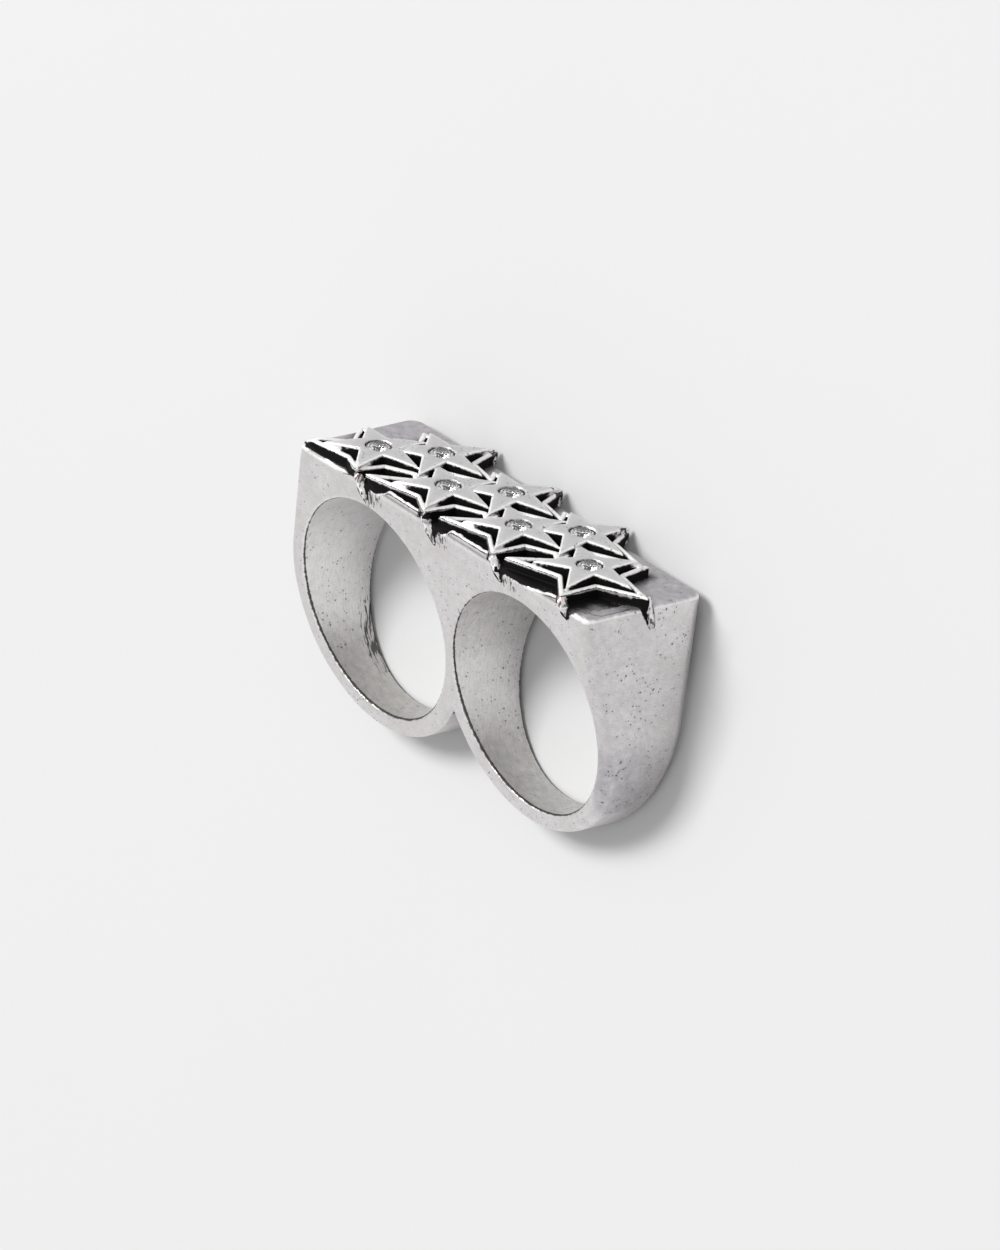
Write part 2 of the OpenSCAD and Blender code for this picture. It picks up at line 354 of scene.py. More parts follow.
def lip_form(x, y, z):
    """The burr that stands along the front edge before the hollows."""
    face = (-y - half_w(z)) * lean_cos
    wall = np.maximum(face + 0.06 + 0.5 * np.clip(-z, 0, 1), -face - 0.42)
    uneven = burr_rough * (grain(x, 0 * y, 0 * z, 0.5, 11) - 0.5)
    return np.maximum(round_max(wall, z - lip_top(x) + uneven, lip_round), -burr_sunk - z)


def rim_top(x):
    """Height of the rim, which is bent down over the left corner."""
    return rim_h - 0.6 * step_up(-x, 17.2, 19.0)


def relief_form(x, y, z):
    """Rim, stars, folded points and the burr on the bar."""
    edge = rim_distance(x, y)
    wall = np.maximum(edge, -(edge + rim_t + 0.06))
    relief = round_max(wall, z - rim_top(x), rim_round)
    for i in range(7):
        relief = soft_min(relief, np.maximum(star_form(x, y, z, i), edge), 0.06)
    relief = np.maximum(relief, np.maximum(-sink, 0.5 - 3 * (y - front_y)) - z)
    rough = burr_rough * (grain(x, y, z, 0.45, 21) - 0.5)
    for fold in FOLDS:
        relief = soft_min(relief, fold_form(x, y, z, fold) + rough, 0.12)
    return relief


def seat_form(x, y, z):
    """Round pockets of the stones."""
    seat = np.inf
    for star in stars:
        away = np.hypot(x - star[0], y - star[1])
        pocket = np.maximum(away - seat_r, girdle_h - seat_depth - z)
        cone = away - seat_r - seat_spread * (z - girdle_h + seat_depth)
        seat = np.minimum(seat, np.minimum(pocket, np.maximum(cone, seat_floor - z)))
    return seat


def hand_work(x, y, z):
    """Slight unevenness of a ring that was finished by hand."""
    return large_dents * grain(x, y, z, 3.1, 5) + small_dents * grain(x, y, z, 1.1, 7)


def top_form(x, y, z):
    """The metal at the top of the bar, where the stars are."""
    hand = hand_work(x, y, z)
    body = soft_min(body_form(x, y, z), lip_form(x, y, z), 0.25) + hand
    metal = soft_min(body, relief_form(x, y, z) + 0.3 * hand, 0.1)
    return np.maximum(metal, -seat_form(x, y, z))


def ring_form(x, y, z):
    """The whole metal at a list of points, below zero inside."""
    metal = body_form(x, y, z) + hand_work(x, y, z)
    near = z > relief_low
    metal[near] = top_form(x[near], y[near], z[near])
    return metal


# ---------------------------------------------------------------- meshes from the forms

def field_on_grid(xs, ys, zs):
    """The form on a grid of points."""
    x, y, z = xs[:, None, None], ys[None, :, None], zs[None, None, :]
    low, top = z[:, :, zs <= relief_low], z[:, :, zs > relief_low]
    return np.concatenate([body_form(x, y, low) + hand_work(x, y, low), top_form(x, y, top)],
                          axis=2)


def wrap(field, xs, ys, zs):
    """One point in each cell that the surface crosses, and the quads that join them."""
    inside = field < 0
    count = sum(inside[a:a - 1 or None, b:b - 1 or None, c:c - 1 or None].astype(np.int8)
                for a in (0, 1) for b in (0, 1) for c in (0, 1))
    crossed = (count > 0) & (count < 8)
    number = np.full(crossed.shape, -1)
    number[crossed] = np.arange(crossed.sum())
    total, shares, quads = 0, 0, []
    for axis in range(3):
        grid = np.moveaxis(number, axis, 0)
        values = np.moveaxis(field, axis, 0)[:, 1:-1, 1:-1]
        starts = values[:-1] < 0
        a, b, c = np.nonzero(starts != (values[1:] < 0))
        ring = np.stack([grid[a, b, c], grid[a, b + 1, c],
                         grid[a, b + 1, c + 1], grid[a, b, c + 1]], axis=1)
        turned = starts[a, b, c] == (axis != 1)
        quads.append(np.where(turned[:, None], ring, ring[:, ::-1]))
        share = values[a, b, c] / (values[a, b, c] - values[a + 1, b, c])
        lists = [xs, ys, zs]
        first = lists.pop(axis)
        place = [lists[0][b + 1], lists[1][c + 1]]
        place.insert(axis, first[a] + share * (first[1] - first[0]))
        for cells in ring.T:
            shares = shares + np.bincount(cells, minlength=crossed.sum())
            total = total + np.stack([np.bincount(cells, way, crossed.sum()) for way in place])
    return (total / shares).T, np.concatenate(quads)


def slope_of(form, points, reach):
    """Gradient of a form at each point, and its value."""
    total, value = 0, 0
    for corner in ((1, 1, 1), (1, -1, -1), (-1, 1, -1), (-1, -1, 1)):
        x, y, z = (points + reach * np.array(corner)).T
        here = form(x, y, z)
        total = total + here[:, None] * np.array(corner)
        value = value + here / 4
    return total / (4 * reach), value


def settle(form, points, rounds, reach=0.01):
    """Move points onto the surface of a form."""
    for _ in range(rounds):
        slope, value = slope_of(form, points, reach)
        step = value / np.maximum((slope ** 2).sum(axis=1), 0.2)
        points = points - np.clip(step, -0.1, 0.1)[:, None] * slope
    return points


def new_mesh(name, points, faces):
    """Mesh from arrays of points and of faces that all have as many corners."""
    mesh = bpy.data.meshes.new(name)
    mesh.vertices.add(len(points))
    mesh.vertices.foreach_set("co", np.asarray(points, np.float32).ravel())
    mesh.loops.add(faces.size)
    mesh.loops.foreach_set("vertex_index", faces.astype(np.int32).ravel())
    mesh.polygons.add(len(faces))
    mesh.polygons.foreach_set("loop_start", np.arange(0, faces.size, faces.shape[1], np.int32))
    mesh.update(calc_edges=True)
    mesh.validate()
    return mesh


def new_object(name, mesh):
    piece = bpy.data.objects.new(name, mesh)
    bpy.context.scene.collection.objects.link(piece)
    return piece


def thinned(mesh, triangles):
    """The mesh with fewer triangles, kept where the form is fine."""
    piece = new_object("thinning", mesh)
    modifier = piece.modifiers.new("thin", "DECIMATE")
    modifier.ratio = triangles / (2 * len(mesh.polygons))
    modifier.use_collapse_triangulate = True
    result = bpy.data.meshes.new_from_object(
        piece.evaluated_get(bpy.context.evaluated_depsgraph_get()))
    bpy.data.objects.remove(piece)
    return result


def points_of(mesh):
    """The mesh's points as an array."""
    flat = np.empty(len(mesh.vertices) * 3, np.float32)
    mesh.vertices.foreach_get("co", flat)
    return flat.reshape(-1, 3).astype(float)


def note(mesh, name, values):
    """Keep one number for each point of the mesh, for its material to read."""
    attribute = mesh.attributes.new(name, "FLOAT", "POINT")
    attribute.data.foreach_set("value", np.asarray(values, np.float32))


def cross_off(x, y, star, way):
    """Distance to the left of a line through a star's middle, seen along its way."""
    return way[0] * (y - star[1]) - way[1] * (x - star[0])


def off_star_middles(x, y):
    """Distance to the middle of the nearest star."""
    return np.min([np.hypot(x - star[0], y - star[1]) for star in stars], axis=0)


def in_notch(y, z):
    """Whether points are low between the bands and behind their front edge."""
    return (z < notch_top) & (y + front_w(z) > notch_edge)


def dirt_and_shadow_around(x, y, z):
    """Distance to dirt and painted shadow, to the haze by the rim, and into the front hollows."""
    edge, far = rim_distance(x, y), 9

    # Grooves between the stars and the rim, below the clean tops of both.
    depth = np.min([np.where(star_distance(x, y, i) < 0.2, star_top(x, y, i) - z, far)
                    for i in range(7)], axis=0)
    clean = np.maximum(0.17 - depth, np.minimum(z - rim_top(x) + 0.2, edge + 0.55))
    groove = np.maximum(clean, np.maximum(edge + 0.2, -0.1 - z))

    # Hollows before the front row, out to the lip, and past it where it is low.
    first_way = pointing(arm_turns[3] + front_left_turns[0])
    front = np.minimum(cross_off(x, y, stars[0], first_way), -cross_off(x, y, stars[3], arms[0]))
    wall_top = rim_top(x) - np.where(front > 0.3, 0.34, 0.22) - z
    past = x - FOLDS[3][0][1][0]
    spill = np.where(past > 0, step_up(-past, -1.4, -0.6),
                     1 - step_up(lip_share(x)[0], 0.02, 0.5))
    behind = (y + half_w(z)) * lean_cos - 0.34 + 0.75 * spill
    behind = np.minimum(behind, bar_right - x - 1.3)
    on_top = np.minimum(z + 0.10, wall_top)
    bay = -np.minimum(np.minimum(np.minimum(z + 0.10 + 0.3 * spill, wall_top), behind), front)
    foot = -np.minimum(on_top, 0.15 - edge)

    # Seats of the stones, and painted shade in the notch between the bands.
    bay = np.minimum(bay, np.maximum(off_star_middles(x, y) - seat_r - 0.05,
                                     np.abs(z - 1.1) - 0.38))
    haze = np.where((np.abs(z) < 0.2) & (front < 0.3) & (y + half_w(z) > 0.3), edge, far)
    away = np.minimum(np.minimum(groove, bay), foot)
    away = np.where(in_notch(y, z), np.hypot(x, z - notch_z) - 0.5, away)

    # Clean claws with dirt beside them, and a painted shadow on the side away from the light.
    for points, radii, way in FOLDS:
        form = fold_form(x, y, z, (points, radii, way))
        right_side = (x - points[1][0]) * -way[1] + (y - points[1][1]) * way[0] > 0
        wide = 0.62 * np.clip(1 + z / 2.6, 0.2, 1)
        reach = np.where(right_side ^ (way[0] > 0), wide, 0.17)
        away = np.maximum(away, 0.10 - form)
        haze = np.maximum(haze, 1 - 3 * form)
        away = np.where((form > 0.04) & (z < 0.7), np.minimum(away, form - reach), away)
    return away, haze, front


# Where the plating is worn through to the copper.
COPPER_SPOTS = [(-18.6, -6.3, 0.7), FOLDS[0][0][1], FOLDS[3][0][1] + [0, -0.3, 0.1]]


def spot_distance(x, y, z, spots):
    """Distance to the nearest of some spots."""
    return np.sqrt(np.min([(x - a) ** 2 + (y - b) ** 2 + (z - c) ** 2 for a, b, c in spots],
                          axis=0))


def bend_of(points):
    """How sharply the metal bends outward at each point."""
    reach = 0.12
    around = sum(ring_form(*(points + reach * np.array(way)).T)
                 for way in ((1, 0, 0), (-1, 0, 0), (0, 1, 0), (0, -1, 0), (0, 0, 1), (0, 0, -1)))
    return (around - 6 * ring_form(*points.T)) / reach ** 2


def note_wear(mesh, points, normals):
    """Notes on worn bright edges and faces, with painted highlights where they face the light."""
    x, y, z = points.T
    bend = bend_of(points)
    bend = np.where((off_star_middles(x, y) < seat_r + 0.3) & (z > 0), np.minimum(bend, 0.5), bend)
    # Edges that face the light get a painted highlight besides their wear.
    facing = -0.5 * normals[:, 0] - 0.87 * normals[:, 1]
    facing_light = np.maximum(step_up(facing, 0, 0.3) * (1 - 0.5 * (x > 15)), 0.3 * (x > 18.8))
    near_top = np.clip((z + 1.6) / 0.8, 0, 1)
    on_lip = lip_share(x)[0] * (y < front_y + 0.6)
    note(mesh, "edge_wear_and_highlight", bend * near_top * (0.4 + 0.6 * facing_light) * (1 - 0.5 * on_lip))

    reach = 0.15
    out_x = rim_distance(x + reach, y) - rim_distance(x - reach, y)
    out_y = rim_distance(x, y + reach) - rim_distance(x, y - reach)
    rim_facing = (-0.5 * out_x - 0.87 * out_y) / (2 * reach)
    on_rim = np.minimum(z - rim_top(x) + 0.3, 0.26 - np.abs(rim_distance(x, y) + 0.22))
    # The rim's polished top gets a painted highlight where it faces the light.
    lit = 0.25 + 0.75 * step_up(rim_facing, 0.2, 0.6)
    note(mesh, "rim_top", np.where(on_rim > 0, on_rim, 0) * lit)

    # Star slopes turned to the left, towards the light, get a painted highlight.
    note(mesh, "left_facing", -normals[:, 0] - normals[:, 1])
    note(mesh, "star_top", np.clip((z - 1.05) * 5, 0, 1) * (normals[:, 2] > 0.5))
    note(mesh, "star_inside", -np.min([star_distance(x, y, i) for i in range(7)], axis=0))
    note(mesh, "copper_away", spot_distance(x, y, z, COPPER_SPOTS))


def note_dirt(mesh, points):
    """Notes on dirt and painted shadow around the stars, lip, rim and claws."""
    x, y, z = points.T
    away, haze, front = dirt_and_shadow_around(x, y, z)
    edge = rim_distance(x, y)
    note(mesh, "dirt_and_shadow_away", away)
    note(mesh, "haze_away", haze)
    on_front = np.clip(1.5 - 6 * np.abs(y + front_w(z)), 0, 1)
    note(mesh, "below_lip", z - lip_top(x))
    note(mesh, "on_lip", on_front * lip_share(x)[0] * (z > -0.8))
    note(mesh, "below_rim", z - rim_top(x))
    note(mesh, "on_rim_wall", np.clip(1.5 - 8 * np.abs(edge), 0, 1) * (front > 0.3) * (z > 0.4))
    on_claw = np.max([1.5 - 12 * np.abs(fold_form(x, y, z, fold)) for fold in FOLDS], axis=0)
    note(mesh, "on_claw", np.clip(on_claw, 0, 1))
    note(mesh, "back_tips", step_up(y, 4.9, 5.7) * (z > 0.12))
    in_pool = (cross_off(x, y, stars[3], arms[4]) > 0.4) & (np.abs(z) < 0.4)
    note(mesh, "foot", np.where(in_pool, edge, 0))


def note_faces(mesh, points):
    """Notes on the walls of the holes, the top of the bar, tarnish, and painted light and shade.
    """
    x, y, z = points.T
    on_wall = np.clip(1.5 - 4 * np.abs(hole_distance(x, z)), 0, 1)
    note(mesh, "on_wall", on_wall)
    # Painted light on the walls of the holes: most of the left wall, and a band halfway down the
    # right.
    left_light = 1 - step_up(-z, 16.8, 18.5)
    right_light = 0.2 + 0.6 * step_up(-z, 10.5, 13) * step_up(z, -19, -17)
    note(mesh, "painted_light_wall", on_wall * np.where(x < 0, left_light, right_light))
    # Painted shade low in the walls of the holes.
    note(mesh, "painted_shade_low_wall", on_wall * step_up(-z, 15.5, 20))
    note(mesh, "low", np.clip((-z - 7) / 8, 0, 1))
    note(mesh, "from_front", y + front_w(z))
    note(mesh, "from_back", half_w(z) - y)
    # Painted shade on the flat top of the bar outside the rim.
    note(mesh, "painted_shade_bar_top", (np.abs(z) < 0.15) * (rim_distance(x, y) > 0.1))
    # Darker towards the bottom of the right end, partly tarnish and partly painted shade; painted
    # shade under the notch between the bands.
    at_end = step_up(x, 18.5, 19.5) * (1 - on_wall) * (z < 0) * (1 - 0.9 * step_up(y, -1, 3))
    at_end = at_end * (0.35 + 0.65 * step_up(-z, 10.5, 13.5))
    under = step_up(-np.hypot(x, z - notch_z), -3.2, -0.6) * in_notch(y, z)
    note(mesh, "shade_and_tarnish", np.maximum(at_end, under * (1 - on_wall)))


def make_metal():
    """The metal: its form in fine triangles, smooth shading, and notes for its material."""
    xs, ys, zs = (np.arange(low, high, grid_step) for low, high in grid_spans)
    grid = new_mesh("grid", *wrap(field_on_grid(xs, ys, zs), xs, ys, zs))
    mesh = thinned(grid, most_triangles)
    points = settle(ring_form, points_of(mesh), settle_rounds)
    normals = slope_of(ring_form, points, normal_reach)[0]
    normals /= np.linalg.norm(normals, axis=1)[:, None]
    mesh.vertices.foreach_set("co", lay_down(points).astype(np.float32).ravel())
    note_wear(mesh, points, normals)
    note_dirt(mesh, points)
    note_faces(mesh, points)
    mesh.shade_smooth()
    mesh.normals_split_custom_set_from_vertices(lay_down(normals, move=False).tolist())
    mesh.update()
    mesh.name = "silver_ring"
    return new_object("silver_ring", mesh)


def make_stone(i):
    """A round stone with a flat table, cuts around its crown and long cuts below."""
    table_z, crown_z, top_z = girdle_t / 2 + crown_h, girdle_t / 2, -girdle_t / 2
    r = stone_d / 2
    rings = [(0.58 * r, table_z, 8, 0), (0.80 * r, crown_z + 0.55 * crown_h, 8, 22.5),
             (r, crown_z, 16, 0), (r, top_z, 16, 0), (0.30 * r, top_z - 0.68 * point_h, 8, 22.5),
             (0, top_z - point_h + 0.08, 1, 0)]
    points, starts = [], []
    for radius, z, number, turn in rings:
        starts.append(len(points))
        points += [(*(radius * pointing(turn + 360 * k / number)), z) for k in range(number)]
    table, kite, girdle, foot, low, tip = starts
    faces = [[table + k for k in range(8)]]
    for k in range(8):
        after, before = (k + 1) % 8, (k - 1) % 8
        odd, even, later = 2 * k + 1, 2 * k, (2 * k + 2) % 16
        faces += [[table + k, kite + k, table + after],
                  [table + k, kite + before, girdle + even, kite + k],
                  [kite + k, girdle + even, girdle + odd],
                  [kite + k, girdle + odd, girdle + later],
                  [low + k, foot + odd, foot + even],
                  [low + k, foot + later, foot + odd],
                  [tip, low + k, foot + even, low + before]]
    for k in range(16):
        faces.append([girdle + k, foot + k, foot + (k + 1) % 16, girdle + (k + 1) % 16])
    star = stars[stone_stars[i]]
    laid = lay_down(np.array(points) + [star[0], star[1], girdle_h])
    mesh = bpy.data.meshes.new(f"cut_stone_{i + 1}")
    mesh.from_pydata(laid.tolist(), [], faces)
    mesh.update()
    return new_object(mesh.name, mesh)


# ---------------------------------------------------------------- materials

class Wire:
    """A number that varies over a surface. Sums and products of wires add Math nodes."""

    def __init__(self, paint, socket):
        self.paint, self.socket = paint, socket

    def maths(self, operation, first, second):
        node = self.paint.node("ShaderNodeMath", {"operation": operation},
                               {0: first, 1: second})
        return Wire(self.paint, node.outputs[0])

    def __add__(self, other):
        return self.maths("ADD", self, other)

    def __sub__(self, other):
        return self.maths("SUBTRACT", self, other)

    def __rsub__(self, other):
        return self.maths("SUBTRACT", other, self)

    def __mul__(self, other):
        return self.maths("MULTIPLY", self, other)

    __radd__, __rmul__ = __add__, __mul__

    def line(self, place, half_width):
        """How far a place is from a line, below zero on it, where this wire is a distance."""
        off = self - place
        return off.at_least(0 - off) - half_width

    def at_most(self, other):
        return self.maths("MINIMUM", self, other)

    def at_least(self, other):
        return self.maths("MAXIMUM", self, other)

    def rise(self, low, high):
        """Goes smoothly from 0 to 1 while this wire goes from low to high."""
        node = self.paint.node("ShaderNodeMapRange", {"interpolation_type": "SMOOTHSTEP"},
                               {"Value": self, "From Min": low, "From Max": high})
        return Wire(self.paint, node.outputs["Result"])


class Paint:
    """The nodes of one material."""

    def __init__(self, name):
        self.material = bpy.data.materials.new(name)
        self.material.use_nodes = True
        self.tree = self.material.node_tree
        self.tree.nodes.clear()
        place = self.node("ShaderNodeTexCoord")
        self.place = self.node("ShaderNodeVectorMath", {"operation": "SCALE"},
                               {"Vector": place.outputs["Object"], "Scale": 1000}).outputs[0]

    def node(self, kind, settings={}, sockets={}):
        node = self.tree.nodes.new(kind)
        for name, value in settings.items():
            setattr(node, name, value)
        for name, value in sockets.items():
            socket = node.inputs[name]
            if isinstance(value, Wire):
                value = value.socket
            if isinstance(value, bpy.types.NodeSocket):
                self.tree.links.new(value, socket)
            else:
                socket.default_value = value
        return node

    def noted(self, name):
        """A number that the mesh keeps for each point."""
        node = self.node("ShaderNodeAttribute", {"attribute_name": name})
        return Wire(self, node.outputs["Fac"])

    def along(self, way):
        """Place along one way of the worn ring, in millimetres from the bar's middle."""
        laid, start = lay_down([way], move=False)[0], 1000 * lay_down([(0, 0, 0)])[0]
        node = self.node("ShaderNodeVectorMath", {"operation": "DOT_PRODUCT"},
                         {0: self.place, 1: laid.tolist()})
        return Wire(self, node.outputs["Value"]) - float(start @ laid)

    def stretched(self, scale):
        """Place in millimetres, scaled apart along the frame's X, Y and Z."""
        return self.node("ShaderNodeVectorMath", {"operation": "MULTIPLY"},
                         {0: self.place, 1: scale}).outputs[0]

    def noise(self, scale, detail=2, place=None):
        """Cloudy values around 0.5."""
        node = self.node("ShaderNodeTexNoise", {},
                         {"Vector": place or self.place, "Scale": scale, "Detail": detail})
        return Wire(self, node.outputs["Fac"])

    def dots(self, scale, place=None):
        """Distance to the nearest of many scattered spots."""
        node = self.node("ShaderNodeTexVoronoi", {},
                         {"Vector": place or self.place, "Scale": scale})
        return Wire(self, node.outputs["Distance"])

    def blend(self, share, below, above):
        """One colour over another, as far as share goes."""
        node = self.node("ShaderNodeMix", {"data_type": "RGBA"}, {0: share, 6: below, 7: above})
        return node.outputs[2]

    def finish(self, colour, roughness, bump=None, **others):
        """The finished material. Bump is a height and its depth in metres."""
        sockets = {"Base Color": colour, "Roughness": roughness}
        sockets.update({name.replace("_", " "): value for name, value in others.items()})
        if bump:
            height, depth = bump
            sockets["Normal"] = self.node(
                "ShaderNodeBump", {}, {"Height": height, "Distance": depth}).outputs[0]
        shader = self.node("ShaderNodeBsdfPrincipled", {}, sockets)
        self.node("ShaderNodeOutputMaterial", {}, {"Surface": shader.outputs[0]})
        return self.material


def dirt_and_shadow_share(paint, ragged, fine, x, y, z):
    """Black dirt in hollows, painted shadow by claws, painted shade in the notch, thin dark edge
    lines.
    """
    dirt_and_shadow = 1 - (paint.noted("dirt_and_shadow_away") + 0.22 * ragged + 0.15 * fine).rise(-0.06, 0.06)
    haze = 1 - (paint.noted("haze_away") + 0.5 * ragged).rise(0.0, 1.2)
    creases = (paint.noted("back_tips") * 0.35 + paint.noise(2.4, 3)).rise(0.80, 0.88)

    # Along both edges of the holes, under the lip and under the top of the rim.
    low = paint.noted("low")
    lines = (paint.noted("from_front").line(0.2, 0.04 + 0.06 * low)
             .at_most(paint.noted("from_back").line(0.2, 0.08 * low - 0.02)))
    lines = lines.at_least(0.5 - paint.noted("on_wall"))
    below_lip = paint.noted("below_lip").line(-0.25, 0.05)
    lines = lines.at_most(below_lip.at_least(0.6 - paint.noted("on_lip")))
    below_rim = paint.noted("below_rim").line(-0.17, 0.035)
    lines = lines.at_most(below_rim.at_least(0.5 - paint.noted("on_rim_wall")))

    # Round the dark pool at the right front corner of the bar's top.
    past_end, past_front = x - (bar_right - 0.48), front_y + 1.3 - y
    pool = past_end.at_least(past_front).at_least((past_end + past_front + 0.5) * 0.7)
    pool = pool.line(0, 0.09).at_least(17.8 - x).at_least(z.line(0, 0.3)).at_least(y + 1.5)
    lines = 1 - (lines.at_most(pool) + 0.16 * ragged + 0.12 * fine).rise(-0.03, 0.03)
    return dirt_and_shadow.at_least(haze * 0.8).at_least(lines * 0.9).at_least(creases * 0.9)


def pit_share(paint, patches, mottle, fine):
    """Small pits, gathered in patches, with long ones where the tarnish and painted shade are
    strong.
    """
    shade_and_tarnish = paint.noted("shade_and_tarnish")
    pitted = (patches + 0.9 * mottle + 0.12 * shade_and_tarnish).rise(0.46, 0.62)
    small_pits = 1 - (paint.dots(2.4) + 0.3 * fine).rise(0.09, 0.22)
    large_pits = 1 - (paint.dots(1.2) + 0.25 * fine).rise(0.07, 0.15)
    specks = 1 - (paint.dots(4.5) + 0.3 * fine).rise(0.06, 0.22)
    long_dots = paint.dots(2.2, paint.stretched((1, 0.35, 1)))
    long_pits = 1 - (long_dots + 0.25 * fine).rise(0.06, 0.18)
    long_pits = long_pits * shade_and_tarnish.rise(0.45, 0.8) * (0.5 + mottle).rise(0.45, 0.6)
    pits = small_pits * pitted + large_pits * pitted + 0.55 * specks * pitted + long_pits
    return pits.at_most(1)


def wear_and_highlight_share(paint, ragged):
    """Bright wear on edges and rim, and painted highlights on the lit edges, rim and star slopes.
    """
    wear_and_highlight = (paint.noted("edge_wear_and_highlight") + 1.6 * ragged).rise(0.9, 2.6)
    lit = (paint.noted("left_facing") + 0.2 * ragged).rise(0.08, 0.34)
    wear_and_highlight = wear_and_highlight.at_least(lit * paint.noted("star_top"))
    return wear_and_highlight.at_least((paint.noted("rim_top") + 0.1 * ragged).rise(0.02, 0.14))


def stroke_share(paint, x, y, z):
    """Dark strokes low inside the left band and beside the claws."""
    streaks = paint.noise(2.6, 3, paint.stretched((0.3, 0.3, 2.2)))
    from_back = bar_w / 2 + side_slope * z - y
    smudge = (1.25 - z.line(-18, 0) * 0.45).at_least(0)
    smudge = smudge * (1.7 - from_back * 0.9).at_most(1).at_least(0)
    smudge = smudge * paint.noted("on_wall") * (1 - x.rise(-13.5, -12.5))
    smudge = (smudge * 0.5 + 3 * (streaks - 0.5)).rise(0.3, 0.5) * smudge.rise(0, 0.3)

    beside_claw = 0
    for fold in FOLDS[:3]:
        claw_x = float(fold[0][1][0])
        beside_claw = (0.9 - x.line(claw_x + 1.8, 0) * 0.55).at_least(beside_claw)
    hatch = beside_claw * (1.15 - z.line(-0.9, 0) * 1.2).at_least(0)
    hatch = hatch * (1 - (y + front_slope * z + bar_w / 2).line(0, 0.1).rise(0, 0.1))
    hatch = hatch.at_least(paint.noted("on_claw") * 0.42)
    strokes = paint.noise(1.6, 3, paint.stretched((3.6, 0.8, 1.5))) - 0.5
    hatch = (hatch * 0.5 + 3 * strokes).rise(0.3, 0.5) * hatch.rise(0, 0.3)
    return smudge.at_least(hatch)


def old_silver():
    """Worn silver: satin grey with pits, bright edges, black dirt in its hollows, and painted
    light and shade.
    """
    plain, pale = (0.78, 0.75, 0.75, 1), (0.83, 0.81, 0.815, 1)
    grey, shade_and_tarnish_grey = (0.46, 0.45, 0.46, 1), (0.42, 0.41, 0.44, 1)
    worn_and_lit_white, copper_red = (0.90, 0.90, 0.89, 1), (0.80, 0.56, 0.52, 1)
    painted_light_white, painted_shade_wall_grey = (0.97, 0.95, 0.95, 1), (0.50, 0.49, 0.46, 1)
    painted_shade_top_grey, painted_shade_star_grey = (0.33, 0.32, 0.34, 1), (0.52, 0.52, 0.52, 1)
    pale_edge, pit_black = (0.84, 0.84, 0.84, 1), (0.09, 0.088, 0.09, 1)
    stroke_black, dirt_and_shadow_black = (0.05, 0.05, 0.055, 1), (0.010, 0.009, 0.009, 1)
    dirt_grey = (0.34, 0.33, 0.32, 1)

    paint = Paint("old_silver")
    ragged, fine = paint.noise(2.6, 4) - 0.5, paint.noise(9, 3) - 0.5
    patches, mottle = paint.noise(0.35, 3), paint.noise(1.6, 4) - 0.5
    speckle = paint.noise(7, 3, paint.stretched((1, 1, 0.5))) - 0.5
    brush = paint.noise(5, 3, paint.stretched((0.25, 0.25, 1.6))) - 0.5
    brush = brush * paint.noted("on_wall")
    x, y, z = (paint.along(way) for way in ((1, 0, 0), (0, 1, 0), (0, 0, 1)))
    dirt_and_shadow = dirt_and_shadow_share(paint, ragged, fine, x, y, z)
    pits = pit_share(paint, patches, mottle, fine) * (1 - dirt_and_shadow)
    wear_and_highlight = wear_and_highlight_share(paint, ragged) * (1 - dirt_and_shadow)
    painted_light_wall, star_top = paint.noted("painted_light_wall"), paint.noted("star_top")

    silver = paint.blend(patches.rise(0.35, 0.7), plain, pale)
    # Painted light on the walls of the holes.
    silver = paint.blend(painted_light_wall, silver, painted_light_white)
    # Painted shade low in the walls of the holes, mottled.
    silver = paint.blend(paint.noted("painted_shade_low_wall") * (0.75 + mottle), silver, painted_shade_wall_grey)
    # Painted shade, mottled, on the bar's flat top and on the tops of the stars.
    silver = paint.blend(paint.noted("painted_shade_bar_top") * (0.75 + 0.9 * mottle), silver, painted_shade_top_grey)
    silver = paint.blend(star_top * 0.6, silver, painted_shade_star_grey)
    soft_edge = (1 - paint.noted("star_inside").rise(0.05, 0.7)) * star_top
    silver = paint.blend(soft_edge * 0.4, silver, pale_edge)
    worn_grey = (0.4 + 1.8 * speckle + 1.4 * mottle + 3.0 * brush).at_most(1).at_least(0)
    silver = paint.blend(worn_grey * (0.42 - 0.2 * painted_light_wall), silver, grey)
    # Tarnish and painted shade on the right end, and painted shade in the notch.
    silver = paint.blend(paint.noted("shade_and_tarnish") * (0.6 + mottle), silver, shade_and_tarnish_grey)
    # Bright wear, with painted highlights where it faces the light.
    silver = paint.blend(wear_and_highlight * 0.8, silver, worn_and_lit_white)
    copper = 1 - (paint.noted("copper_away") + 0.5 * ragged).rise(0.3, 0.55)
    silver = paint.blend(copper * 0.55, silver, copper_red)
    silver = paint.blend(pits * 0.85, silver, pit_black)
    silver = paint.blend(stroke_share(paint, x, y, z) * 0.88, silver, stroke_black)
    foot = (paint.noted("foot") + 1.2 * mottle).rise(0.7, 2.2)
    dirt_and_shadow_colour = paint.blend(foot * (0.7 + fine), dirt_and_shadow_black, dirt_grey)
    # Black dirt in the hollows, with painted shadow beside the claws and painted shade in the
    # notch.
    silver = paint.blend(dirt_and_shadow, silver, dirt_and_shadow_colour)

    rough = 0.42 + 0.25 * speckle + 0.3 * dirt_and_shadow - 0.1 * wear_and_highlight
    bump = speckle * 0.6 + brush - pits + patches * 2
    return paint.finish(silver, rough, (bump, 0.00003), Metallic=0.95 - 0.3 * wear_and_highlight)


